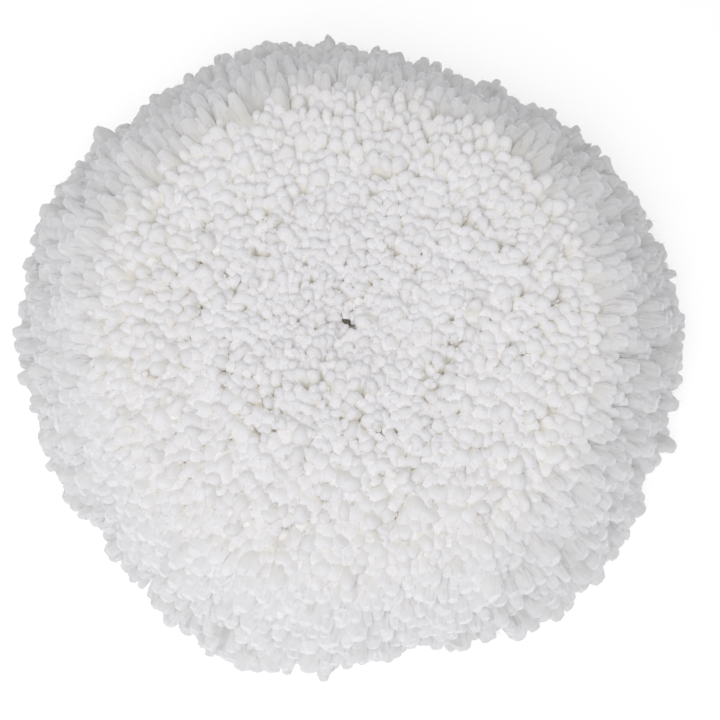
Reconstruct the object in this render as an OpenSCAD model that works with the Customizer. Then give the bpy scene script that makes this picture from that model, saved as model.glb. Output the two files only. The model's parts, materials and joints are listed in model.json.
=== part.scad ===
// Wool polishing pad for a machine polisher, lying on its loop-fabric back with the wool face up.
// The origin is the centre of the loop face, and +Z points out of the wool face.

/* [Overall] */
// Diameter of the pad across the tips of the wool
pad_d = 230; // [190:1:280]
// Diameter of the centring hole through the backing
hole_d = 16; // [12:0.5:22]

/* [Wool pile] */
// Length of a strand, from the canvas to its tip
pile_h = 30; // [20:1:38]
// Distance from the centring hole to the first row of tufts
first_row_gap = 2; // [1:0.5:4]
// Radius of the pit left where the innermost strands meet
pit_r = 1.2; // [0.6:0.1:3]
// Width of the middle zone in which the strands lean towards the pit
lean_zone = 40; // [25:1:50]
// How far the strands next to the rim lean outwards by their tips
splay = 12; // [4:1:16]
// Width of the zone next to the rim in which the strands lean outwards
splay_zone = 34; // [20:1:45]
// Gap between one row of tufts and the next
row_gap = 0.2; // [0.1:0.05:0.5]
// Height of the lowest wool above the loop face
wool_lift = 1.5; // [0.5:0.1:3]

/* [Canvas and latex] */
// Thickness of the canvas that holds the tufts
canvas_t = 1; // [0.6:0.1:1.6]
// Outer radius of the canvas's rolled rim
rim_r = 7; // [5.5:0.1:8.8]
// Height of the canvas's cut edge above the loop face
edge_lift = 1.6; // [1.5:0.1:3]
// Thickness of the latex coat under the canvas
latex_t = 1.2; // [1.1:0.1:2]
// Width of the yarn run behind each row
back_yarn_w = 2; // [1:0.1:2.4]
// Thickness of the yarn run behind each row
back_yarn_t = 0.7; // [0.4:0.05:0.8]

/* [Cushion and facing] */
// Thickness of the foam cushion
foam_t = 6; // [5:0.5:12]
// Thickness of the loop facing
loop_t = 2.2; // [1.8:0.1:4]
// Thickness of each adhesive film
film_t = 0.3; // [0.2:0.05:0.6]
// Distance from the loop facing's edge to the binding
loop_margin = 2.4; // [1:0.1:6]

/* [Binding and stitching] */
// Thickness of the binding tape
tape_t = 0.5; // [0.3:0.05:0.8]
// Diameter of the sewing thread
thread_d = 0.8; // [0.5:0.05:0.8]
// Length from one stitch to the next
stitch_pitch = 3.6; // [2.5:0.1:6]
// Gap between one stitch and the next
stitch_gap = 0.5; // [0.3:0.1:1]
// Distance from the loop facing's edge to the outer seam
seam_inset = 5; // [2.5:0.5:12]
// Distance from the centring hole to the inner seam
centre_inset = 4.5; // [2.5:0.5:10]
// Clearance round the threads, the tape and the yarn runs
fit_gap = 0.1; // [0.05:0.01:0.15]

/* [Hidden] */
flat_rows = 15;
rim_rows = 3;
rows = flat_rows + rim_rows;

// Colours of the materials
wool_colour = [0.93, 0.92, 0.91];
canvas_colour = [0.86, 0.83, 0.76];
latex_colour = [0.87, 0.82, 0.68];
film_colour = [0.88, 0.84, 0.66];
foam_colour = [0.93, 0.89, 0.72];
loop_colour = [0.9, 0.9, 0.9];
tape_colour = [0.82, 0.81, 0.78];
thread_colour = [0.95, 0.95, 0.93];

// Radii of the backing
hole_r = hole_d / 2;
flat_r = pad_d / 2 - pile_h - rim_r;
skirt_r = flat_r + rim_r;
under_rim_r = rim_r - canvas_t;
tip_r = rim_r + pile_h;
first_row_r = hole_r + first_row_gap;
tape_out_r = skirt_r + fit_gap + tape_t;
tape_in_r = skirt_r - canvas_t - fit_gap - tape_t;
loop_r = tape_in_r - loop_margin;
seam_r = loop_r - seam_inset;
centre_seam_r = hole_r + centre_inset;
groove_w = thread_d + 4 * fit_gap;
groove_h = thread_d + 2 * fit_gap;

// Heights of the layers above the loop face
foam_z = loop_t + film_t;
film_z = foam_z + foam_t;
latex_z = film_z + film_t;
canvas_z = latex_z + latex_t;
face_z = canvas_z + canvas_t;
rim_z = face_z - rim_r;
tape_z = edge_lift - tape_t;

// Angles of the rim: straight up, the last row's upper side, and between the last yarn run's slot
// and the end of the latex
rim_top_angle = 90;
last_side_angle = 30;
run_end_angle = 5;

// Angles between which the tips on the rim fan out: the last flat row's tips and the lowest wool
fan_top_angle = atan2(tip(flat_r)[1] - rim_z, tip(flat_r)[0] - flat_r);
fan_end_angle = asin((wool_lift - rim_z) / tip_r);

// Share of its own length by which a side's line is drawn past each end
overrun = 0.2;

$fn = 96;

function numbered(i) = str("tuft_row_", i < 10 ? "0" : "", i);

// Radius on the canvas of the side between flat rows i - 1 and i
function side_r(i) = first_row_r + (flat_r - first_row_r) * i / flat_rows;

// How far a strand that starts at radius r leans by its tip: inwards near the pit, outwards near the rim
function lean_in(r) = (first_row_r - pit_r) * pow(max(0, 1 - (r - first_row_r) / lean_zone), 2);
function lean_out(r) = splay * pow(max(0, 1 - (flat_r - r) / splay_zone), 2);
function lean(r) = lean_out(r) - lean_in(r);

// A strand's tip, in radius and height: the strand keeps its length as it leans
function tip(r) = [r + lean(r), face_z + sqrt(pow(pile_h, 2) - pow(lean(r), 2))];

// Angle on the rolled rim of the side between rim rows k and k + 1, where the wool leaves the canvas
function side_angle(k) = rim_top_angle - (rim_top_angle - last_side_angle) * k / (rim_rows - 1);

// Angle of the same side at the tips, seen from the rim's centre
function tip_angle(k) = fan_top_angle - (fan_top_angle - fan_end_angle) * k / rim_rows;

// The same side as a line, shifted along the rim and drawn past the canvas and past the tips
function side_line(k, shift) =
    let (at_canvas = side_angle(k) + arc_angle(shift, rim_r))
    let (at_tips = tip_angle(k) + arc_angle(shift, tip_r))
    let (start = rim_r * [cos(at_canvas), sin(at_canvas)])
    let (end = tip_r * [cos(at_tips), sin(at_tips)])
    [start - (end - start) * overrun, end + (end - start) * overrun];

// Angle that a length takes up at a radius
function arc_angle(length, r) = length / r * 180 / PI;

// Angle of the middle of the yarn run behind rim row k
function run_angle(k) = k < rim_rows
    ? (side_angle(k - 1) + side_angle(k)) / 2
    : run_end_angle + arc_angle(back_yarn_w / 2 + fit_gap, under_rim_r);

// A flat ring from radius r_in to radius r_out
module ring(r_in, r_out, z, height)
    rotate_extrude()
        translate([r_in, z])
            square([r_out - r_in, height]);

// Part of a wall that curves over the rolled rim, from radius r_in to r_out about the rim's centre
module rim_section(r_in, r_out, z_low)
    intersection() {
        translate([flat_r, rim_z])
            difference() {
                circle(r = r_out);
                circle(r = r_in);
            }
        translate([flat_r, z_low])
            square([r_out, r_out + rim_z - z_low]);
    }

// A wedge between two angles less than a right angle apart, longer than the pile
module wedge(low, high) {
    along_low = [cos(low), sin(low)] * tip_r;
    along_high = [cos(high), sin(high)] * tip_r;
    polygon([[0, 0], along_low, along_low + along_high, along_high]);
}

// A ring of separate stitches, each an arc of round thread
module stitch_ring(r, z) {
    count = floor(2 * PI * r / stitch_pitch);
    turn = 360 / count;
    for (i = [0 : count - 1])
        rotate([0, 0, i * turn])
            rotate_extrude(angle = turn * (1 - stitch_gap / stitch_pitch))
                translate([r, z])
                    circle(d = thread_d, $fn = 24);
}

// Section of what lies behind row i, half_w to each side of the row's middle, between two depths
// below the canvas's underside
module behind_row(i, half_w, shallow, deep) {
    middle = run_angle(i - flat_rows);
    half = arc_angle(half_w, under_rim_r);
    if (i <= flat_rows)
        translate([(side_r(i - 1) + side_r(i)) / 2 - half_w, canvas_z - deep])
            square([2 * half_w, deep - shallow]);
    else
        intersection() {
            rim_section(under_rim_r - deep, under_rim_r - shallow, rim_z);
            translate([flat_r, rim_z])
                wedge(middle - half, middle + half);
        }
}

// A yarn run, and the slot that it lies in
module yarn_section(i)
    behind_row(i, back_yarn_w / 2, fit_gap, fit_gap + back_yarn_t);

module yarn_slot(i)
    behind_row(i, back_yarn_w / 2 + fit_gap, -fit_gap, back_yarn_t + 2 * fit_gap);

// Brushed loop fabric that the backing plate's hooks grip, with a sewn groove for each seam
module loop_facing()
    color(loop_colour)
        rotate_extrude()
            difference() {
                translate([hole_r, 0])
                    square([loop_r - hole_r, loop_t]);
                for (r = [seam_r, centre_seam_r])
                    translate([r - groove_w / 2, -groove_h])
                        square([groove_w, 2 * groove_h]);
            }

// Adhesive between the loop facing and the foam
module loop_bond_film()
    color(film_colour)
        ring(hole_r, flat_r, loop_t, film_t);

// Foam that lets the wool follow a curved panel
module foam_cushion()
    color(foam_colour)
        ring(hole_r, flat_r, foam_z, foam_t);

// Adhesive between the foam and the latex
module canvas_bond_film()
    color(film_colour)
        ring(hole_r, flat_r, film_z, film_t);

// Cured latex that locks the yarn runs to the canvas
module latex_backcoat()
    color(latex_colour)
        rotate_extrude()
            difference() {
                union() {
                    translate([hole_r, latex_z])
                        square([flat_r - hole_r, latex_t]);
                    rim_section(under_rim_r - latex_t, under_rim_r, rim_z + 2 * fit_gap);
                }
                for (i = [1 : rows])
                    yarn_slot(i);
            }

// The yarn that runs along the back of every row, from tuft to tuft
module back_yarn_runs()
    color(wool_colour)
        for (i = [1 : rows])
            rotate_extrude()
                yarn_section(i);

// Cotton canvas, flat in the middle and rolled down at the rim
module canvas_backing()
    color(canvas_colour)
        rotate_extrude()
            union() {
                translate([hole_r, canvas_z])
                    square([flat_r - hole_r, canvas_t]);
                rim_section(under_rim_r, rim_r, rim_z);
                translate([skirt_r - canvas_t, edge_lift])
                    square([canvas_t, rim_z - edge_lift]);
            }

// Woven tape folded over the canvas's cut edge
module edge_binding()
    color(tape_colour)
        rotate_extrude()
            difference() {
                translate([tape_in_r, tape_z])
                    square([tape_out_r - tape_in_r, rim_z - tape_z]);
                translate([tape_in_r + tape_t, edge_lift])
                    square([tape_out_r - tape_in_r - 2 * tape_t, rim_z]);
            }

// Outer seam, through the loop facing near its edge
module seam_stitches()
    color(thread_colour)
        stitch_ring(seam_r, fit_gap + thread_d / 2);

// Inner seam, round the centring hole
module centre_stitches()
    color(thread_colour)
        stitch_ring(centre_seam_r, fit_gap + thread_d / 2);

// Seam along the fold of the binding tape
module binding_stitches()
    color(thread_colour)
        stitch_ring(skirt_r - canvas_t / 2, tape_z - fit_gap - thread_d / 2);

// Row of tufts on the flat canvas, between the strands that start at two radii
module flat_row(i) {
    inner = side_r(i - 1) + row_gap / 2;
    outer = side_r(i) - row_gap / 2;
    rotate_extrude()
        polygon([[inner, face_z], [outer, face_z], tip(outer), tip(inner)]);
}

// Row of tufts on the rolled rim, spread like a fan; the last row reaches down to the lowest wool
module rim_row(k) {
    upper = side_line(k - 1, -row_gap / 2);
    lower = k < rim_rows ? side_line(k, row_gap / 2) : [[0, -tip_r], [2 * tip_r, -tip_r]];
    rotate_extrude()
        difference() {
            intersection() {
                rim_section(rim_r, tip_r, wool_lift);
                translate([flat_r, rim_z])
                    polygon([upper[0], lower[0], lower[1], upper[1]]);
            }
            translate([flat_r, 0])
                square([tape_out_r + row_gap - flat_r, rim_z + row_gap]);
        }
}

module tuft_row(i)
    color(wool_colour)
        if (i <= flat_rows)
            flat_row(i);
        else
            rim_row(i - flat_rows);

loop_facing();
loop_bond_film();
foam_cushion();
canvas_bond_film();
latex_backcoat();
back_yarn_runs();
canvas_backing();
edge_binding();
seam_stitches();
centre_stitches();
binding_stitches();
for (i = [1 : rows])
    tuft_row(i);
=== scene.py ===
"""Twisted wool polishing pad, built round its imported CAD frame. Lengths are in metres."""

import json
import math

import bmesh
import bpy
import numpy as np
from mathutils import Matrix, Vector, noise
from mathutils.kdtree import KDTree


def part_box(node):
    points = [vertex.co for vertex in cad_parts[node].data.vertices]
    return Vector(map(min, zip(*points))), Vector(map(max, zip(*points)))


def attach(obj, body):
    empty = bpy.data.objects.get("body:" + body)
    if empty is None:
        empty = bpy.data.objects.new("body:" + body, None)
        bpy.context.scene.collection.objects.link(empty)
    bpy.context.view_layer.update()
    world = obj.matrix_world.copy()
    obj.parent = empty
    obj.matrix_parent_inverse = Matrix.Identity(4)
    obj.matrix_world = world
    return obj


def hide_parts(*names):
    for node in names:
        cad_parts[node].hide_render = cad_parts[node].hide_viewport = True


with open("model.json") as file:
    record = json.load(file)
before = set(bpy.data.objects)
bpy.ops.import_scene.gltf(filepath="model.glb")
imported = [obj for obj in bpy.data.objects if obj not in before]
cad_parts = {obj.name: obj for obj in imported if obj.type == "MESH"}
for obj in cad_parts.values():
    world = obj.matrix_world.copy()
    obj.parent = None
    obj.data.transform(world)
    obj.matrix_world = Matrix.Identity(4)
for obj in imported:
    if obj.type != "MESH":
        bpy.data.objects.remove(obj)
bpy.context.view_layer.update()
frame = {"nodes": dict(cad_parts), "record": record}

MM = 0.001
GOLDEN_TURN = math.pi * (3 - math.sqrt(5))

# ---------------------------------------------------------------- sizes taken from the frame
PAD_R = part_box("tuft_row_18")[1].x
FACE_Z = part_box("tuft_row_10")[0].z
PILE_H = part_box("tuft_row_06")[1].z - FACE_Z
FLAT_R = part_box("foam_cushion")[1].x
SKIRT_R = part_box("canvas_backing")[1].x
RIM_R = SKIRT_R - FLAT_R
RIM_Z = FACE_Z - RIM_R
HOLE_R = next(m for m in frame["record"]["mounts"] if m["name"] == "centre_hole")["dims"]["r_mm"] * MM

# ---------------------------------------------------------------- rows of tufts
FLAT_ROWS = 15
RIM_ROWS = 3
FIRST_ROW_R = HOLE_R + 2 * MM
PIT_R = 1.2 * MM
PIT_ZONE = 6 * MM           # tips inside this are drawn in to close the pit
PIT_ENDS = 8                # and this many are drawn right in to its middle
LEAN_ZONE = 40 * MM
SPLAY = 12 * MM
SPLAY_ZONE = 34 * MM
FLAT_PITCH = 2.7 * MM       # from one tuft to the next along a flat row
RIM_PITCH = 1.0 * MM        # closer on the rim, where the pile fans out
FINE_R = 1.95 * MM          # radius of a tuft end in the middle of the face
FULL_R = 2.75 * MM          # and out on the rim
RIM_ARCH = 32               # degrees a rim tuft sets off above the line to its tip, so that it droops over
KNEE = 0.5                  # share of its length over which a tuft stays square to the canvas
SIDES, BANDS = 9, 8         # faces round a tuft end and along it
DOME_BANDS = 4              # how many of those bands make its rounded top
WISP_SIDES = 5
WISPS = 4                   # small frayed ends round each tuft end
FIBRES = 5                  # loose fibres on each tuft end
SOFTNESS = 0.3              # how far the shading of an end turns to the end's own direction
RIM_SOFTNESS = 1.8          # and on the rim, where the ends lie on each other
NAP = 9 * MM                # how far the pile has been brushed over on one side
NAP_HEADING = math.radians(-105)
EASE_ROUNDS = 8             # how often crowded tips are eased apart
# Places where the pile dips and parts: x and y of the middle in mm, heading of the parting in degrees, half
# width, half length and depth in mm, and how far the ends draw back from it as a share of their distance.
HOLLOWS = [(0, 2, 60, 3, 7, 6, 0.3), (-22, -78, 40, 4, 9, 5, 0.8), (-41, -50, 25, 3, 6, 3.5, 0.6),
           (14, -62, 75, 3, 5, 3, 0.6), (30, 42, 110, 3, 5, 3, 0.4), (-58, 60, 20, 4, 9, 3.5, 0.5)]


def smooth(x):
    """Eases from 0 to 1 as x goes from 0 to 1."""
    x = np.clip(x, 0, 1)
    return x * x * (3 - 2 * x)


def between(r, start, end):
    """Eases from 0 to 1 as r goes from start to end, which are in millimetres."""
    return smooth((r - start * MM) / ((end - start) * MM))


def outline(turn):
    """Reach of the wool at each heading as a share of its mean reach, since the trimmed edge isn't round."""
    # how many waves go round the edge, their size, and the heading of one peak in degrees
    waves = [(1, 0.006, 60), (2, 0.019, -37), (3, 0.016, 20), (4, 0.002, 23), (5, 0.018, 30), (6, 0.008, 13),
             (7, 0.013, -1)]
    return 1 + sum(size * np.cos(k * (turn - math.radians(peak))) for k, size, peak in waves)


def lean(r):
    """Lean of a strand that starts at radius r: inwards near the pit and outwards near the rim."""
    inward = (FIRST_ROW_R - PIT_R) * np.clip(1 - (r - FIRST_ROW_R) / LEAN_ZONE, 0, None) ** 2
    outward = SPLAY * np.clip(1 - (FLAT_R - r) / SPLAY_ZONE, 0, None) ** 2
    return outward - inward


def spread(r):
    """How much more room the tips have than the roots at radius r, because of the lean."""
    step = 0.1 * MM
    return (1 + (lean(r + step) - lean(r - step)) / (2 * step)) * (r + lean(r)) / r


def flat_row(i, rng):
    """Roots, canvas normals and tips of flat row i, in metres."""
    pitch = (FLAT_R - FIRST_ROW_R) / FLAT_ROWS
    middle = FIRST_ROW_R + (i - 0.5) * pitch
    fewer = 1 - 0.35 * between(middle, 25, 65)
    room = max(spread(middle), 1.3 - middle / (90 * MM))
    count = round(2 * math.pi * middle / FLAT_PITCH * fewer * room)
    turn = (np.arange(count) + rng.uniform(-0.25, 0.25, count)) * 2 * math.pi / count + i * GOLDEN_TURN
    r = middle + rng.uniform(-0.35, 0.35, count) * pitch
    out = lean(r)
    heading = np.stack([np.cos(turn), np.sin(turn), np.zeros(count)], 1)
    root = heading * r[:, None] + [0, 0, FACE_Z]
    length = PILE_H * (1 + rng.normal(0, 0.02, count))
    tip = heading * (r + out)[:, None] + [0, 0, 1] * (FACE_Z + np.sqrt(length ** 2 - out ** 2))[:, None]
    normal = np.tile([0.0, 0.0, 1.0], (count, 1))
    return root, normal, tip


def rim_row(k, rng):
    """Roots, canvas normals and tips of rim row k, which fans out over the rolled rim."""
    fan_top = math.radians(70)      # the line to the tip of the first rim tuft, above level
    fan_end = math.radians(-3)      # and of the last one
    roll_end = math.radians(8)      # where the last one leaves the canvas
    middle = FLAT_R + RIM_R * math.cos(math.radians(90 - 90 / RIM_ROWS * (k - 0.5)))
    count = round(2 * math.pi * middle / RIM_PITCH)
    turn = (np.arange(count) + rng.uniform(-0.3, 0.3, count)) * 2 * math.pi / count + k * GOLDEN_TURN
    share = (k - 1 + rng.uniform(0, 1, count)) / RIM_ROWS
    roll = math.pi / 2 - (math.pi / 2 - roll_end) * share
    fan = fan_top - (fan_top - fan_end) * share
    heading = np.stack([np.cos(turn), np.sin(turn), np.zeros(count)], 1)
    up = np.array([0.0, 0.0, 1.0])
    normal = heading * np.cos(roll)[:, None] + up * np.sin(roll)[:, None]
    root = heading * FLAT_R + up * RIM_Z + normal * RIM_R
    rise = fan + math.radians(RIM_ARCH)
    normal = heading * np.cos(rise)[:, None] + up * np.sin(rise)[:, None]
    reach = (RIM_R + PILE_H) * (1 + rng.normal(0, 0.03, count))
    ragged = wander(heading * PAD_R, 9 * MM, 5)[:, 0] * 3 * MM
    reach = reach + (outline(turn) - 1) * PAD_R * np.cos(fan) + ragged
    tip = (heading * (FLAT_R + reach * np.cos(fan))[:, None]
           + up * (RIM_Z + reach * np.sin(fan))[:, None])
    return root, normal, tip


def drift(point):
    """A smooth push at a point, up to about one long."""
    return Vector([noise.noise(point + Vector((41.3, 7.9, 23.1)) * k) for k in range(3)])


def wander(points, spacing, seed):
    """The drift at each point, slower over a longer spacing."""
    offset = Vector((seed * 17.3, seed * 5.1, seed * 2.7))
    return np.array([drift(Vector(p) / spacing + offset) for p in points])


def end_radius(root, rng):
    """Tuft ends are finer in the middle of the face and fuller out on the rim."""
    r = np.hypot(root[:, 0], root[:, 1])
    coarse = 1 - 0.07 * root[:, 1] / FLAT_R
    coarse = coarse * (1 + 0.15 * smooth((r - FLAT_R) / (4 * MM)))
    usual = FINE_R + (FULL_R - FINE_R) * between(r, 15, 65)
    return usual * coarse * np.exp(rng.normal(0, 0.18, len(r)))


def hollow(points):
    """How far the pile dips at each point, in metres, and the way it parts there."""
    dip = np.zeros(len(points))
    away = np.zeros((len(points), 3))
    for x, y, heading, across, along, depth, parting in HOLLOWS:
        offset = points[:, :2] - np.array([x, y]) * MM
        line = np.array([math.cos(math.radians(heading)), math.sin(math.radians(heading))])
        beside = offset - (offset @ line)[:, None] * line
        near = np.exp(-(offset @ line / (along * MM)) ** 2 - np.sum(beside ** 2, 1) / (across * MM) ** 2)
        dip += depth * MM * near
        away[:, :2] += beside * (parting * near)[:, None]
    return dip, away


def split_ends(parts, rng):
    """Some yarns open into two ends, more of them in the middle of the face."""
    r = np.hypot(parts[0][:, 0], parts[0][:, 1])
    chance = 0.5 - 0.42 * between(r, 20, 65)
    return np.repeat(np.arange(len(r)), 1 + (rng.uniform(0, 1, len(r)) < chance))


def part_tips(root, tip, radius, rng):
    """Lays the tips in clumps with partings between them, then eases apart the ones that crowd."""
    along = tip - root
    along /= np.linalg.norm(along, axis=1)[:, None]
    clumps = wander(tip, 19 * MM, 1) * 3.4 * MM
    locks = wander(tip, 8 * MM, 2) * 1.8 * MM
    push = clumps + locks
    push += rng.normal(0, 0.7 * MM, tip.shape)
    reach = np.hypot(tip[:, 0], tip[:, 1])
    turn = np.arctan2(tip[:, 1], tip[:, 0])
    brushed = NAP * between(reach, 10, 60) * (0.5 + 0.5 * np.cos(turn - NAP_HEADING)) ** 0.7
    brushed *= 1 - between(reach, 88, 104)
    push += brushed[:, None] * np.array([math.cos(NAP_HEADING), math.sin(NAP_HEADING), 0])
    push -= along * np.sum(push * along, 1)[:, None]
    home = tip + push
    closer = np.where(reach < PIT_ZONE, np.sqrt(rng.uniform(0, 1, len(tip))), 1)
    home[:, :2] *= closer[:, None]
    home += hollow(home)[1]
    tip = home.copy()
    for _ in range(EASE_ROUNDS):
        tree = KDTree(len(tip))
        for j, p in enumerate(tip):
            tree.insert(p, j)
        tree.balance()
        move = np.zeros_like(tip)
        crowd = np.where(np.hypot(tip[:, 0], tip[:, 1]) < 7 * MM, 0.7, 0.94)
        for j, p in enumerate(tip):
            near = [(q, m, distance) for q, m, distance in tree.find_range(p, 2 * FULL_R) if m != j]
            if near:
                gap = p - np.array([q for q, m, distance in near])
                distance = np.maximum(np.array([distance for q, m, distance in near]), 0.2 * MM)
                room = crowd[j] * (radius[j] + radius[[m for q, m, _ in near]])
                move[j] = np.sum(gap / distance[:, None] * np.clip(room - distance, 0, None)[:, None], 0)
        move -= along * np.sum(move * along, 1)[:, None]
        tip = tip + move * 0.25 + (home - tip) * 0.08
    nearest = np.argsort(np.hypot(tip[:, 0], tip[:, 1]))[:PIT_ENDS]
    tip[nearest, :2] *= 0.4
    height = 0.9 * MM * wander(tip, 20 * MM, 3)[:, 2] + rng.normal(0, 0.75 * MM, len(tip))
    height -= hollow(tip)[0]
    return tip + along * height[:, None]


# ---------------------------------------------------------------- meshes
def ball_form(name, sides, bands):
    """A closed form, still a ball: its rings are spread along the yarn when it is placed."""
    bm = bmesh.new()
    bm.loops.layers.uv.new("yarn")
    bmesh.ops.create_uvsphere(bm, u_segments=sides, v_segments=bands, radius=1, calc_uvs=True)
    mesh = bpy.data.meshes.new(name)
    bm.to_mesh(mesh)
    bm.free()
    return mesh


def fibre_form():
    """One loose fibre as a thin closed needle with a bend in it."""
    bm = bmesh.new()
    bm.loops.layers.uv.new("yarn")
    made = bmesh.ops.create_cone(bm, cap_ends=True, segments=3, radius1=1, radius2=0.25, depth=1,
                                 calc_uvs=True)
    bmesh.ops.translate(bm, verts=made["verts"], vec=(0, 0, 0.5))
    bmesh.ops.bisect_plane(bm, geom=bm.verts[:] + bm.edges[:] + bm.faces[:], plane_co=(0, 0, 0.5),
                           plane_no=(0, 0, 1))
    mesh = bpy.data.meshes.new("fibre_form")
    bm.to_mesh(mesh)
    bm.free()
    return mesh


def points_of(mesh):
    """The places of a mesh's points, one to a row."""
    co = np.zeros(len(mesh.vertices) * 3)
    mesh.vertices.foreach_get("co", co)
    return co.reshape(-1, 3)


class Tufts:
    """Yarn ends that leave the canvas square and bend to their tips."""

    def __init__(self, root, normal, tip, radius, tone):
        self.root, self.normal, self.tip, self.radius, self.tone = root, normal, tip, radius, tone
        self.length = np.linalg.norm(tip - root, axis=1)
        self.knee = root + normal * (KNEE * self.length)[:, None]
        side = np.stack([-root[:, 1], root[:, 0], np.zeros(len(root))], 1)
        self.side = side / np.linalg.norm(side, axis=1)[:, None]

    def __len__(self):
        return len(self.root)

    def pick(self, which):
        facts = (self.root, self.normal, self.tip, self.radius, self.tone)
        return Tufts(*(fact[which] for fact in facts))

    def at(self, share):
        """Place, direction and two directions across, where share is how far up, with a row for each tuft."""
        t = share[:, :, None]
        a, b, c = self.root[:, None], self.knee[:, None], self.tip[:, None]
        place = (1 - t) ** 2 * a + 2 * t * (1 - t) * b + t * t * c
        along = 2 * (1 - t) * (b - a) + 2 * t * (c - b)
        along /= np.linalg.norm(along, axis=2, keepdims=True)
        v = self.side[:, None] - along * np.sum(self.side[:, None] * along, 2, keepdims=True)
        v /= np.linalg.norm(v, axis=2, keepdims=True)
        return place, along, np.cross(v, along), v


def lay_on_floor(points):
    """Presses what would reach under the floor flat on it."""
    press = 0.8 * MM
    points[..., 2] = (points[..., 2] + np.sqrt(points[..., 2] ** 2 + press ** 2)) / 2
    return points


def painted_shade_height(tufts, share):
    """How far up its yarn each point is, for the painted shade that darkens and warms the wool's colour
    towards the roots; on the rim this painted shade reaches less far down, so the colour stays pale further
    down there.
    """
    rim = smooth((np.hypot(tufts.root[:, 0], tufts.root[:, 1]) - FLAT_R + 1 * MM) / (4 * MM))
    return 1 - (1 - share) * (1 - 0.65 * rim[:, None])


def tuft_points(form, tufts, rng):
    """Points of every tuft end, the one form strung along its yarn, slightly wavy, lobed and roughened."""
    co = points_of(form)
    count = len(tufts)
    down = np.arccos(np.clip(co[:, 2], -1, 1)) / math.pi * BANDS
    around = np.arctan2(co[:, 1], co[:, 0])
    in_dome = down <= DOME_BANDS
    dome_angle = np.clip(down / DOME_BANDS, 0, 1) * math.pi / 2
    climb = np.clip((BANDS - down) / (BANDS - DOME_BANDS), 0, 1)
    outer = between(np.hypot(tufts.root[:, 0], tufts.root[:, 1]), 60, 82)
    dome = rng.uniform(1.2, 1.9, count) * (1 + 0.45 * outer) * tufts.radius / tufts.length
    share = np.where(in_dome[None, :], 1 - dome[:, None] * (1 - np.cos(dome_angle))[None, :],
                     (1 - dome)[:, None] * (climb ** 0.8)[None, :])
    fill = (1 + 0.55 * np.sin(math.pi * climb ** 1.6))[None, :]
    swell = np.where(in_dome, np.sin(dome_angle) ** (0.9 - 0.25 * outer[:, None]),
                     0.8 + 0.2 * smooth(climb * 1.6)) * fill
    swell = np.where(down > BANDS - 0.5, 0, swell)
    place, _, u, v = tufts.at(share)
    phase, wave, turn, lobe = (rng.uniform(0, 2 * math.pi, count)[:, None] for _ in range(4))
    wobble = 0.45 * MM * np.sin(share * 5 + phase) * share
    place = place + u * (wobble * np.cos(wave))[:, :, None] + v * (wobble * np.sin(wave))[:, :, None]
    spin = around[None, :] + turn - 2.2 * (1 - share)
    flat = rng.uniform(0, 0.25, count)[:, None] * np.cos(2 * spin + wave)
    lobes = rng.uniform(0.02, 0.18, count)[:, None] * np.cos(3 * spin + lobe)
    wide = tufts.radius[:, None] * swell * (1 + flat + lobes + rng.normal(0, 0.07, (count, len(co))))
    points = place + u * (wide * np.cos(spin))[:, :, None] + v * (wide * np.sin(spin))[:, :, None]
    return lay_on_floor(points), painted_shade_height(tufts, share), tufts.tone[:, None] + np.zeros_like(share)


def wisp_points(form, tufts, rng):
    """Points of the small frayed ends that close the gaps between the tuft ends."""
    co = points_of(form)
    wisps = tufts.pick(np.repeat(np.arange(len(tufts)), WISPS))
    count = len(wisps)
    outer = between(np.hypot(wisps.root[:, 0], wisps.root[:, 1]), 60, 82)
    top = 1 - (rng.uniform(1.2, 4.2, count) + 1.5 * outer * rng.uniform(0.3, 1, count)) * MM / wisps.length
    run = rng.uniform(4, 8, count) * (1 + outer) * MM / wisps.length
    share = top[:, None] - run[:, None] * (1 - co[None, :, 2]) / 2
    place, _, u, v = wisps.at(share)
    angle = rng.uniform(0, 2 * math.pi, count)[:, None] + 1.5 * share
    open_out = 0.35 * smooth((share - 0.7) / 0.3)
    orbit = wisps.radius[:, None] * (rng.uniform(0.55, 0.95, count)[:, None] + open_out)
    place = place + u * (orbit * np.cos(angle))[:, :, None] + v * (orbit * np.sin(angle))[:, :, None]
    around = np.hypot(co[:, 0], co[:, 1]) ** 0.8
    thick = rng.uniform(0.55, 1.15, count) * (1 + 0.8 * outer) * MM
    wide = thick[:, None] * around[None, :] * (1 + rng.normal(0, 0.08, (count, len(co))))
    spin = np.arctan2(co[:, 1], co[:, 0])[None, :]
    points = place + u * (wide * np.cos(spin))[:, :, None] + v * (wide * np.sin(spin))[:, :, None]
    tones = wisps.tone[:, None] + rng.uniform(-0.2, 0.2, count)[:, None] + np.zeros_like(share)
    return lay_on_floor(points), painted_shade_height(wisps, share), tones


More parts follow.
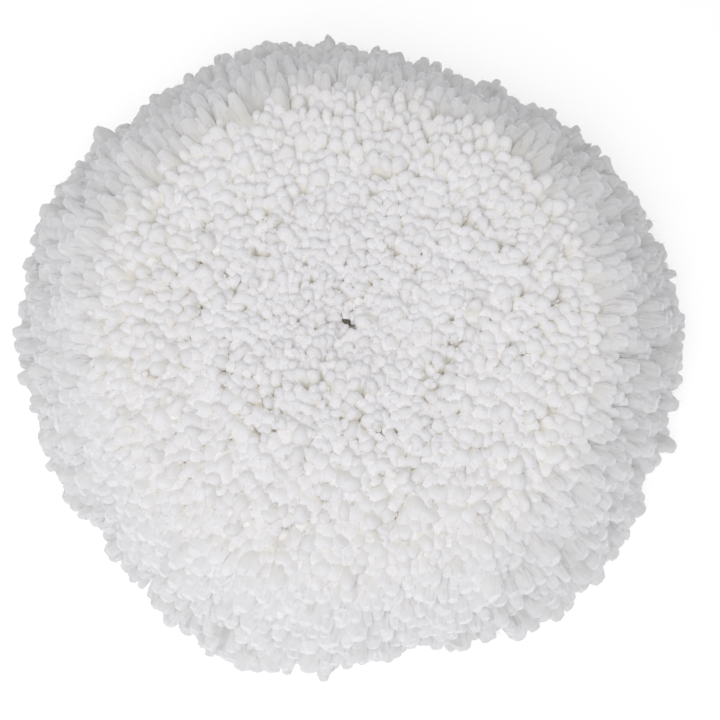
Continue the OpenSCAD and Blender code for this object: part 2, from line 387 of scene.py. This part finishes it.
def fibre_points(form, tufts, rng):
    """Points of the loose fibres that stand off these tuft ends."""
    co = points_of(form)
    fibres = tufts.pick(np.repeat(np.arange(len(tufts)), FIBRES))
    count = len(fibres)
    start = np.clip(1 - np.abs(rng.normal(0, 0.16, count)), 0.4, 0.99)
    place, along, u, v = (part[:, 0] for part in fibres.at(start[:, None]))
    angle = rng.uniform(0, 2 * math.pi, count)[:, None]
    out = u * np.cos(angle) + v * np.sin(angle)
    across = v * np.cos(angle) - u * np.sin(angle)
    to_end = (1 - start) * fibres.length / fibres.radius
    body = np.where(to_end < 1, np.sqrt(np.clip(1 - (1 - to_end) ** 2, 0, 1)), 1) * fibres.radius
    foot = place + out * (0.85 * body)[:, None]
    splay = np.radians(rng.uniform(6, 40, count))[:, None]
    run = rng.uniform(0.9, 2.6, count)[:, None, None] * MM
    thick = rng.uniform(0.04, 0.08, count)[:, None, None] * MM
    bend = rng.normal(0, 0.45, count)[:, None, None]
    lift = along * np.cos(splay) + out * np.sin(splay)
    z = co[None, :, 2:3]
    points = foot[:, None] + lift[:, None] * (run * z) + across[:, None] * (run * bend * z * z)
    points += out[:, None] * (thick * co[None, :, 0:1]) + across[:, None] * (thick * co[None, :, 1:2])
    share = np.repeat(start[:, None], len(co), 1)
    return lay_on_floor(points), share, np.repeat(fibres.tone[:, None], len(co), 1)


def repeat_form(name, form, points, share, tones):
    """One mesh holding a copy of the form for each set of points, with how far up the yarn each point is."""
    bm = bmesh.new()
    for _ in range(len(points)):
        bm.from_mesh(form)
    mesh = bpy.data.meshes.new(name)
    bm.to_mesh(mesh)
    bm.free()
    mesh.vertices.foreach_set("co", points.reshape(-1).astype(np.float32))
    # height drives the wool's painted shade, darker and warmer towards the roots
    for key, value in (("height", share), ("tone", tones)):
        attribute = mesh.attributes.new(key, "FLOAT", "POINT")
        attribute.data.foreach_set("value", np.ascontiguousarray(value, np.float32).ravel())
    mesh.polygons.foreach_set("use_smooth", np.ones(len(mesh.polygons), bool))
    mesh.update()
    return mesh


def soften(mesh, form, points, softness):
    """Turns the shading part way to each end's own direction, since fleece scatters light and looks soft."""
    facing = np.zeros(len(mesh.vertices) * 3, np.float32)
    mesh.vertex_normals.foreach_get("vector", facing)
    facing = facing.reshape(len(points), -1, 3)
    along = points[:, int(np.argmax(points_of(form)[:, 2]))] - points.mean(1)
    along /= np.linalg.norm(along, axis=1)[:, None]
    facing = facing + softness * along[:, None]
    facing /= np.linalg.norm(facing, axis=2, keepdims=True)
    mesh.normals_split_custom_set_from_vertices(facing.reshape(-1, 3).tolist())


def add_piece(name, mesh, *, material, nodes=()):
    """Shows the mesh as a piece of the pad, standing for these CAD nodes."""
    piece = bpy.data.objects.new(name, mesh)
    bpy.context.scene.collection.objects.link(piece)
    mesh.materials.append(material)
    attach(piece, "root")
    if nodes:
        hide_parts(*nodes)
    return piece


# ---------------------------------------------------------------- materials
def new_material(name):
    """A material with its nodes, its links and its shader."""
    material = bpy.data.materials.new(name)
    material.use_nodes = True
    tree = material.node_tree
    return material, tree.nodes, tree.links, tree.nodes["Principled BSDF"]


def wool_material():
    """Off-white wool with painted shade: its colour darkens and warms towards the roots, where shade falls
    between the tufts, and is paler and a little cool at the tips as painted light; each tuft a little
    different, with fine twisted fibres.
    """
    material, nodes, links, skin = new_material("wool")
    height = nodes.new("ShaderNodeAttribute")
    height.attribute_name = "height"
    tone = nodes.new("ShaderNodeAttribute")
    tone.attribute_name = "tone"
    # painted shade: the ramp darkens and warms the colour down towards the roots, where shade falls between
    # the tufts, and the pale, slightly cool tip colour is painted light
    ramp = nodes.new("ShaderNodeValToRGB")
    ramp.color_ramp.elements[0].position = 0.84
    ramp.color_ramp.elements[0].color = (0.84, 0.815, 0.755, 1)
    ramp.color_ramp.elements[1].position = 0.985
    ramp.color_ramp.elements[1].color = (0.95, 0.935, 0.965, 1)
    links.new(height.outputs["Fac"], ramp.inputs["Fac"])
    shade = nodes.new("ShaderNodeHueSaturation")
    links.new(ramp.outputs["Color"], shade.inputs["Color"])
    vary = nodes.new("ShaderNodeMapRange")
    vary.inputs["To Min"].default_value = 0.94
    vary.inputs["To Max"].default_value = 1.02
    links.new(tone.outputs["Fac"], vary.inputs["Value"])
    links.new(vary.outputs["Result"], shade.inputs["Value"])
    links.new(shade.outputs["Color"], skin.inputs["Base Color"])
    uv = nodes.new("ShaderNodeUVMap")
    uv.uv_map = "yarn"
    stretch = nodes.new("ShaderNodeMapping")
    stretch.inputs["Scale"].default_value = (12, 2.0, 1)
    stretch.inputs["Rotation"].default_value = (0, 0, math.radians(14))
    links.new(uv.outputs["UV"], stretch.inputs["Vector"])
    fibres = nodes.new("ShaderNodeTexNoise")
    fibres.inputs["Scale"].default_value = 1.0
    fibres.inputs["Detail"].default_value = 5
    links.new(stretch.outputs["Vector"], fibres.inputs["Vector"])
    bump = nodes.new("ShaderNodeBump")
    bump.inputs["Strength"].default_value = 1.0
    bump.inputs["Distance"].default_value = 0.45 * MM
    links.new(fibres.outputs["Fac"], bump.inputs["Height"])
    links.new(bump.outputs["Normal"], skin.inputs["Normal"])
    skin.inputs["Roughness"].default_value = 0.95
    skin.inputs["Specular IOR Level"].default_value = 0.15
    skin.inputs["Sheen Weight"].default_value = 0.25
    skin.inputs["Sheen Roughness"].default_value = 0.6
    return material


def mottled(nodes, links, skin, *, dark, light, grain, roughness):
    """Colour that wanders between two shades, and a roughness that wanders with it."""
    place = nodes.new("ShaderNodeTexCoord")
    mottle = nodes.new("ShaderNodeTexNoise")
    mottle.inputs["Scale"].default_value = 1 / grain
    mottle.inputs["Detail"].default_value = 6
    ramp = nodes.new("ShaderNodeValToRGB")
    ramp.color_ramp.elements[0].position = 0.3
    ramp.color_ramp.elements[0].color = (*dark, 1)
    ramp.color_ramp.elements[1].position = 0.7
    ramp.color_ramp.elements[1].color = (*light, 1)
    rough = nodes.new("ShaderNodeMapRange")
    rough.inputs["To Min"].default_value = roughness - 0.08
    rough.inputs["To Max"].default_value = roughness + 0.06
    links.new(place.outputs["Object"], mottle.inputs["Vector"])
    links.new(mottle.outputs["Fac"], ramp.inputs["Fac"])
    links.new(mottle.outputs["Fac"], rough.inputs["Value"])
    links.new(ramp.outputs["Color"], skin.inputs["Base Color"])
    links.new(rough.outputs["Result"], skin.inputs["Roughness"])
    return place


def band(nodes, links, vector, spacing, direction, *, ripple=1.0):
    """Parallel ridges a given distance apart."""
    wave = nodes.new("ShaderNodeTexWave")
    wave.bands_direction = direction
    wave.inputs["Scale"].default_value = 2 * math.pi / (20 * spacing)
    wave.inputs["Distortion"].default_value = ripple
    wave.inputs["Detail"].default_value = 2
    links.new(vector, wave.inputs["Vector"])
    return wave.outputs["Fac"]


def combine(nodes, links, first, second, operation):
    """The two values put together by one sum."""
    node = nodes.new("ShaderNodeMath")
    node.operation = operation
    links.new(first, node.inputs[0])
    links.new(second, node.inputs[1])
    return node.outputs["Value"]


def raise_surface(nodes, links, skin, height, depth, strength=0.9):
    """Puts the height on the material as a bump of that depth."""
    bump = nodes.new("ShaderNodeBump")
    bump.inputs["Strength"].default_value = strength
    bump.inputs["Distance"].default_value = depth
    links.new(height, bump.inputs["Height"])
    links.new(bump.outputs["Normal"], skin.inputs["Normal"])


def canvas_material():
    """Unbleached cotton canvas in a plain weave."""
    material, nodes, links, skin = new_material("cotton_canvas")
    place = mottled(nodes, links, skin, dark=(0.62, 0.56, 0.45), light=(0.76, 0.71, 0.60),
                    grain=1.4 * MM, roughness=0.88)
    warp = band(nodes, links, place.outputs["Object"], 0.9 * MM, "X")
    weft = band(nodes, links, place.outputs["Object"], 0.9 * MM, "Y")
    raise_surface(nodes, links, skin, combine(nodes, links, warp, weft, "MAXIMUM"), 0.25 * MM)
    skin.inputs["Sheen Weight"].default_value = 0.2
    return material


def tape_material():
    """Bleached cotton tape in a herringbone twill, on the tape's own UV map."""
    material, nodes, links, skin = new_material("twill_tape")
    mottled(nodes, links, skin, dark=(0.74, 0.72, 0.68), light=(0.86, 0.85, 0.82),
            grain=2 * MM, roughness=0.85)
    uv = nodes.new("ShaderNodeUVMap")
    uv.uv_map = "ring"
    twill = band(nodes, links, uv.outputs["UV"], 0.7 * MM, "DIAGONAL", ripple=0.4)
    weft = band(nodes, links, uv.outputs["UV"], 0.35 * MM, "X", ripple=0.4)
    raise_surface(nodes, links, skin, combine(nodes, links, twill, weft, "ADD"), 0.14 * MM)
    skin.inputs["Sheen Weight"].default_value = 0.2
    return material


def foam_material():
    """Open-cell foam, cut with a blade."""
    material, nodes, links, skin = new_material("open_cell_foam")
    place = mottled(nodes, links, skin, dark=(0.70, 0.65, 0.52), light=(0.82, 0.78, 0.66),
                    grain=3 * MM, roughness=0.9)
    cells = nodes.new("ShaderNodeTexVoronoi")
    cells.inputs["Scale"].default_value = 1 / (0.75 * MM)
    fine = nodes.new("ShaderNodeTexVoronoi")
    fine.inputs["Scale"].default_value = 1 / (0.35 * MM)
    links.new(place.outputs["Object"], cells.inputs["Vector"])
    links.new(place.outputs["Object"], fine.inputs["Vector"])
    height = combine(nodes, links, cells.outputs["Distance"], fine.outputs["Distance"], "ADD")
    raise_surface(nodes, links, skin, height, 0.4 * MM)
    return material


def knit_material():
    """Brushed knit of bright nylon, the ground that the loops stand on."""
    material, nodes, links, skin = new_material("brushed_knit")
    place = mottled(nodes, links, skin, dark=(0.66, 0.66, 0.65), light=(0.82, 0.82, 0.81),
                    grain=2.2 * MM, roughness=0.7)
    wales = band(nodes, links, place.outputs["Object"], 1.1 * MM, "X", ripple=2.0)
    courses = band(nodes, links, place.outputs["Object"], 0.8 * MM, "Y", ripple=2.0)
    raise_surface(nodes, links, skin, combine(nodes, links, wales, courses, "MULTIPLY"), 0.3 * MM)
    skin.inputs["Sheen Weight"].default_value = 0.4
    return material


def loop_material():
    """Bright nylon filament of the loops."""
    material, nodes, links, skin = new_material("nylon_loops")
    place = mottled(nodes, links, skin, dark=(0.76, 0.76, 0.76), light=(0.90, 0.90, 0.90),
                    grain=1.5 * MM, roughness=0.45)
    fine = nodes.new("ShaderNodeTexNoise")
    fine.inputs["Scale"].default_value = 1 / (0.1 * MM)
    links.new(place.outputs["Object"], fine.inputs["Vector"])
    raise_surface(nodes, links, skin, fine.outputs["Fac"], 0.03 * MM, 0.5)
    return material


def thread_material():
    """Spun polyester thread with its twist."""
    material, nodes, links, skin = new_material("sewing_thread")
    place = mottled(nodes, links, skin, dark=(0.74, 0.73, 0.70), light=(0.88, 0.87, 0.85),
                    grain=0.8 * MM, roughness=0.55)
    twist = band(nodes, links, place.outputs["Object"], 0.45 * MM, "DIAGONAL", ripple=0.6)
    raise_surface(nodes, links, skin, twist, 0.08 * MM)
    skin.inputs["Sheen Weight"].default_value = 0.3
    return material


def latex_material():
    """Brushed-on latex, cream and a little glossy, with brush drag and small pits."""
    material, nodes, links, skin = new_material("latex_coat")
    place = mottled(nodes, links, skin, dark=(0.62, 0.55, 0.41), light=(0.74, 0.68, 0.54),
                    grain=6 * MM, roughness=0.42)
    drag = band(nodes, links, place.outputs["Object"], 2.6 * MM, "X", ripple=6.0)
    pits = nodes.new("ShaderNodeTexVoronoi")
    pits.inputs["Scale"].default_value = 1 / (1.6 * MM)
    links.new(place.outputs["Object"], pits.inputs["Vector"])
    height = combine(nodes, links, drag, pits.outputs["Distance"], "ADD")
    raise_surface(nodes, links, skin, height, 0.15 * MM, 0.6)
    skin.inputs["Coat Weight"].default_value = 0.2
    return material


def adhesive_material():
    """Dried spray adhesive, amber and pebbled."""
    material, nodes, links, skin = new_material("spray_adhesive")
    place = mottled(nodes, links, skin, dark=(0.55, 0.46, 0.28), light=(0.70, 0.63, 0.45),
                    grain=2.5 * MM, roughness=0.35)
    web = nodes.new("ShaderNodeTexVoronoi")
    web.inputs["Scale"].default_value = 1 / (0.9 * MM)
    links.new(place.outputs["Object"], web.inputs["Vector"])
    raise_surface(nodes, links, skin, web.outputs["Distance"], 0.1 * MM, 0.7)
    return material


def yarn_material():
    """Wool yarn laid along the back of the canvas."""
    material, nodes, links, skin = new_material("back_yarn")
    place = mottled(nodes, links, skin, dark=(0.72, 0.70, 0.65), light=(0.86, 0.84, 0.80),
                    grain=1.5 * MM, roughness=0.9)
    twist = band(nodes, links, place.outputs["Object"], 0.9 * MM, "DIAGONAL", ripple=3.0)
    raise_surface(nodes, links, skin, twist, 0.2 * MM)
    skin.inputs["Sheen Weight"].default_value = 0.3
    return material


def floor_material():
    """White studio floor that glows a little, so that no dark edge shows round the pad."""
    material, nodes, links, skin = new_material("studio_floor")
    mottled(nodes, links, skin, dark=(0.96, 0.96, 0.96), light=(0.97, 0.97, 0.97),
            grain=300 * MM, roughness=0.9)
    skin.inputs["Emission Color"].default_value = (1, 1, 1, 1)
    skin.inputs["Emission Strength"].default_value = 0.35
    return material


# ---------------------------------------------------------------- the wool
WOOL = wool_material()
rng = np.random.default_rng(9)
rows = [flat_row(i, rng) for i in range(1, FLAT_ROWS + 1)] + [rim_row(k, rng) for k in range(1, RIM_ROWS + 1)]
row_of = np.concatenate([np.full(len(r[0]), i + 1) for i, r in enumerate(rows)])
parts = [np.concatenate([r[part] for r in rows]) for part in range(3)]
ends = split_ends(parts, rng)
row_of = row_of[ends]
root, normal, tip = (part[ends] for part in parts)
radius = end_radius(root, rng)
tip = part_tips(root, tip + rng.normal(0, 0.8 * MM, tip.shape), radius, rng)
wool = Tufts(root, normal, tip, radius, rng.uniform(0, 1, len(root)))

TUFT = ball_form("tuft_form", SIDES, BANDS)
WISP = ball_form("wisp_form", WISP_SIDES, WISP_SIDES)
FIBRE = fibre_form()
for i in range(1, FLAT_ROWS + RIM_ROWS + 1):
    tufts = wool.pick(row_of == i)
    for kind, form, place in (("tufts", TUFT, tuft_points), ("wisps", WISP, wisp_points),
                              ("fibres", FIBRE, fibre_points)):
        name = f"row_{i:02d}_{kind}"
        points, share, tones = place(form, tufts, rng)
        mesh = repeat_form(name, form, points, share, tones)
        if kind != "fibres":
            soften(mesh, form, points, SOFTNESS if i <= FLAT_ROWS else RIM_SOFTNESS)
        stands_for = [f"tuft_row_{i:02d}"] if kind == "tufts" else ()
        add_piece(name, mesh, material=WOOL, nodes=stands_for)

# ---------------------------------------------------------------- the backing
def arc(middle_r, middle_z, radius, start, end, steps):
    """Points of an arc in the section plane, between two angles in degrees."""
    turns = [math.radians(start + (end - start) * i / steps) for i in range(steps + 1)]
    return [(middle_r + radius * math.cos(t), middle_z + radius * math.sin(t)) for t in turns]


def evenly(points, step):
    """The same closed section with points no further apart than the step."""
    out = []
    for (r0, z0), (r1, z1) in zip(points, points[1:] + points[:1]):
        count = max(1, math.ceil(math.hypot(r1 - r0, z1 - z0) / step))
        out += [(r0 + (r1 - r0) * i / count, z0 + (z1 - z0) * i / count) for i in range(count)]
    return out


def turned(name, section, steps, ruffle=None):
    """A closed section spun round the pad's axis, with a UV map in metres along and across the ring."""
    bm = bmesh.new()
    verts = [bm.verts.new((r, 0, z)) for r, z in section]
    edges = [bm.edges.new(pair) for pair in zip(verts, verts[1:] + verts[:1])]
    bmesh.ops.spin(bm, geom=verts + edges, cent=(0, 0, 0), axis=(0, 0, 1), angle=2 * math.pi, steps=steps,
                   use_merge=True)
    bmesh.ops.remove_doubles(bm, verts=bm.verts, dist=0.001 * MM)
    bmesh.ops.recalc_face_normals(bm, faces=bm.faces)
    ring = bm.loops.layers.uv.new("ring")
    for face in bm.faces:
        face.smooth = True
        middle = face.calc_center_median()
        for loop in face.loops:
            co = loop.vert.co
            swing = Vector((middle.x, middle.y)).angle_signed(Vector((co.x, co.y)), 0)
            turn = math.atan2(middle.y, middle.x) - swing
            loop[ring].uv = (turn * SKIRT_R, math.hypot(co.x, co.y) - co.z)
    if ruffle:
        for vert in bm.verts:
            vert.co += ruffle(vert.co)
    mesh = bpy.data.meshes.new(name)
    bm.to_mesh(mesh)
    bm.free()
    return mesh


LOOP_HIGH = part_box("loop_facing")[1]
FOAM_LOW, FOAM_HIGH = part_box("foam_cushion")
CANVAS_LOW, CANVAS_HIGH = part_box("canvas_backing")
TAPE_LOW, TAPE_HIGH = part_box("edge_binding")
SEAMS = [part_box(node)[1].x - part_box(node)[1].z / 2 for node in ("seam_stitches", "centre_stitches")]
LOOP_R = LOOP_HIGH.x
GROUND_Z = 0.75 * MM        # underside of the knit that the loops stand on
SEAM_Z = 1.0 * MM           # and where its seams draw it up
LOOPS = 4200
LOOP_THICKNESS = 0.2        # of a loop's filament, as a share of the loop's radius
STITCH_PITCH = 3.6 * MM
RING_STEPS = 180


def loop_ground():
    """The knit: drawn up where it is sewn, its cut edge rounded and a little ruffled."""
    top = LOOP_HIGH.z
    under = [(LOOP_R - 0.6 * MM, GROUND_Z)]
    for seam in SEAMS:
        under += [(seam + 1.9 * MM, GROUND_Z), (seam + 0.8 * MM, SEAM_Z), (seam - 0.8 * MM, SEAM_Z),
                  (seam - 1.9 * MM, GROUND_Z)]
    under += [(HOLE_R + 0.3 * MM, GROUND_Z), (HOLE_R, GROUND_Z + 0.3 * MM), (HOLE_R, top)]
    over = [(LOOP_R - 0.4 * MM, top), (LOOP_R, top - 0.4 * MM), (LOOP_R, GROUND_Z + 0.5 * MM)]
    section = evenly(under + over, 1.2 * MM)

    def ruffle(co):
        r = math.hypot(co.x, co.y)
        turn = math.atan2(co.y, co.x)
        loose = smooth((r - FLAT_R - 0.5 * MM) / (2.5 * MM))
        return Vector((0, 0, -0.16 * MM * loose * (1 + math.sin(23 * turn) * math.sin(9 * turn + 1))))

    return turned("loop_ground", section, RING_STEPS, ruffle)


def loop_pile(rng):
    """Small nylon loops all over the underside, thinner over the seams."""
    bm = bmesh.new()
    bm.loops.layers.uv.new("yarn")
    made = bmesh.ops.create_circle(bm, segments=3, radius=LOOP_THICKNESS)
    bmesh.ops.rotate(bm, verts=made["verts"], cent=(0, 0, 0), matrix=Matrix.Rotation(math.pi / 2, 3, "X"))
    bmesh.ops.translate(bm, verts=made["verts"], vec=(1, 0, 0))
    bmesh.ops.spin(bm, geom=bm.verts[:] + bm.edges[:], cent=(0, 0, 0), axis=(0, -1, 0),
                   angle=math.radians(-200), steps=6)
    bmesh.ops.holes_fill(bm, edges=bm.edges)
    bmesh.ops.recalc_face_normals(bm, faces=bm.faces)
    form = bpy.data.meshes.new("loop_form")
    bm.to_mesh(form)
    bm.free()
    r = np.sqrt(rng.uniform((HOLE_R + 0.8 * MM) ** 2, (LOOP_R - 1.2 * MM) ** 2, LOOPS))
    for seam in SEAMS:
        r = r[np.abs(r - seam) > 1.6 * MM]
    count = len(r)
    turn = rng.uniform(0, 2 * math.pi, count)
    co = points_of(form)
    wide = rng.uniform(0.45, 0.95, count)[:, None] * MM
    low = rng.uniform(0.05, 0.35, count)[:, None] * MM
    foot = GROUND_Z + 0.12 * MM
    lean_over = rng.normal(0, 0.5, count)[:, None] * MM
    drop = (foot - low) / np.ptp(co[:, 2])
    z = low + (co[None, :, 2] - co[:, 2].min()) * drop
    x = wide * co[None, :, 0]
    y = wide * co[None, :, 1] + lean_over * (foot - z) / foot
    face = rng.uniform(0, 2 * math.pi, count)[:, None]
    points = np.stack([r[:, None] * np.cos(turn)[:, None] + x * np.cos(face) - y * np.sin(face),
                       r[:, None] * np.sin(turn)[:, None] + x * np.sin(face) + y * np.cos(face), z], 2)
    share = np.zeros((count, len(co)))
    return repeat_form("loop_pile", form, points, share, share)


def foam_disc():
    """The foam: its cut side bellies out, and the wall of the hole bellies in."""
    low, high = FOAM_LOW.z, FOAM_HIGH.z
    middle, half = (low + high) / 2, (high - low) / 2
    side = [(FLAT_R + 0.7 * MM * math.cos(a) ** 2, middle + half * math.sin(a))
            for a in (math.radians(d) for d in range(-90, 91, 15))]
    hole = [(HOLE_R - 0.35 * MM * math.cos(a) ** 2, middle + half * math.sin(a))
            for a in (math.radians(d) for d in range(90, -91, -20))]

    def ruffle(co):
        return drift(co / (3 * MM)) * 0.12 * MM

    return turned("foam_disc", evenly(side + hole, 4 * MM), RING_STEPS, ruffle)


def canvas_shell():
    """The canvas: flat, rolled over the rim and down to its cut edge."""
    thick = CANVAS_HIGH.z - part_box("latex_backcoat")[1].z
    outer = [(HOLE_R, CANVAS_HIGH.z)] + arc(FLAT_R, RIM_Z, RIM_R, 90, 0, 14) + [(SKIRT_R, CANVAS_LOW.z)]
    inner = [(SKIRT_R - thick, CANVAS_LOW.z)] + arc(FLAT_R, RIM_Z, RIM_R - thick, 0, 90, 14)
    section = evenly(outer + inner + [(HOLE_R, CANVAS_HIGH.z - thick)], 3 * MM)
    return turned("canvas_shell", section, RING_STEPS)


def binding_fold():
    """The tape, a wall on each side of the canvas edge and a round fold between, dimpled by its stitches."""
    tape = 0.5 * MM
    fold_w = 2.2 * MM
    bottom = TAPE_LOW.z
    outer_r, inner_r = TAPE_HIGH.x, TAPE_HIGH.x - fold_w
    middle, half = (outer_r + inner_r) / 2, (outer_r - inner_r) / 2
    wall = [(inner_r, RIM_Z)] + arc(middle, bottom + half * 0.55, half, 180, 360, 14) + [(outer_r, RIM_Z)]
    wall = [(r, max(z, bottom)) for r, z in wall]
    lining = [(outer_r - tape, RIM_Z), (outer_r - tape, CANVAS_LOW.z), (inner_r + tape, CANVAS_LOW.z),
              (inner_r + tape, RIM_Z)]
    stitches = math.floor(2 * math.pi * middle / STITCH_PITCH)

    def ruffle(co):
        turn = math.atan2(co.y, co.x)
        out = Vector((co.x, co.y, 0)).normalized()
        pull = 0.10 * MM * (0.5 + 0.5 * math.cos(stitches * turn)) * (1 if co.z < RIM_Z - 1.5 * MM else 0.4)
        return -out * pull if math.hypot(co.x, co.y) > middle else Vector((0, 0, 0))

    return turned("binding_fold", evenly(wall + lining, 0.6 * MM), 4 * stitches, ruffle)


cloth_rng = np.random.default_rng(3)
ground = add_piece("loop_ground", loop_ground(), material=knit_material(),
                   nodes=["loop_facing"])
loops = add_piece("loop_pile", loop_pile(cloth_rng), material=loop_material())
foam = add_piece("foam_disc", foam_disc(), material=foam_material(), nodes=["foam_cushion"])
canvas = add_piece("canvas_shell", canvas_shell(), material=canvas_material(),
                   nodes=["canvas_backing"])
tape = add_piece("binding_fold", binding_fold(), material=tape_material(),
                 nodes=["edge_binding"])

FINISHES = {"latex_backcoat": latex_material(), "back_yarn_runs": yarn_material(),
            "thread": thread_material(), "film": adhesive_material()}
for name, node in frame["nodes"].items():
    if not name.startswith("tuft_row"):
        kind = "thread" if name.endswith("stitches") else "film" if name.endswith("film") else name
        if kind in FINISHES:
            node.data.materials.clear()
            node.data.materials.append(FINISHES[kind])


# ---------------------------------------------------------------- floor, light and camera
def flat_panel(name, size, z):
    """A level square at a height."""
    bm = bmesh.new()
    bmesh.ops.create_grid(bm, x_segments=1, y_segments=1, size=size / 2)
    bmesh.ops.translate(bm, verts=bm.verts, vec=(0, 0, z))
    mesh = bpy.data.meshes.new(name)
    bm.to_mesh(mesh)
    bm.free()
    panel = bpy.data.objects.new(name, mesh)
    bpy.context.scene.collection.objects.link(panel)
    return panel


def soft_light(name, power, size, heading, elevation, distance):
    """A square soft box that faces the pad from a heading round it and a height above the floor."""
    lamp = bpy.data.lights.new(name, "AREA")
    lamp.energy = power
    lamp.size = size
    box = bpy.data.objects.new(name, lamp)
    bpy.context.scene.collection.objects.link(box)
    a, e = math.radians(heading), math.radians(elevation)
    back = Vector((math.sin(a) * math.cos(e), -math.cos(a) * math.cos(e), math.sin(e)))
    box.location = back * distance
    box.rotation_mode = "QUATERNION"
    box.rotation_quaternion = (-back).to_track_quat("-Z", "Y")
    return box


floor = flat_panel("floor", size=8.0, z=0.0)
floor.data.materials.append(floor_material())

world = bpy.data.worlds.new("studio")
bpy.context.scene.world = world
world.use_nodes = True
sky = world.node_tree.nodes["Background"]
sky.inputs["Color"].default_value = (1, 1, 1, 1)
sky.inputs["Strength"].default_value = 0.25
soft_light("key_light", power=16.5, size=1.8, heading=-20, elevation=66, distance=1.5)

VIEW_ELEVATION = math.radians(71.5)
VIEW_DISTANCE = 1.05
aim = Vector((0.004, -0.005, 0.012))
camera_data = bpy.data.cameras.new("camera")
camera_data.lens = 150
camera_data.sensor_width = 36
camera = bpy.data.objects.new("camera", camera_data)
bpy.context.scene.collection.objects.link(camera)
back = Vector((0, -math.cos(VIEW_ELEVATION), math.sin(VIEW_ELEVATION)))
camera.location = aim + back * VIEW_DISTANCE
camera.rotation_mode = "QUATERNION"
camera.rotation_quaternion = (-back).to_track_quat("-Z", "Y")
bpy.context.scene.camera = camera
bpy.context.scene.view_settings.view_transform = "Standard"
bpy.context.scene.view_settings.gamma = 1.45
bpy.context.scene.cycles.diffuse_bounces = 16
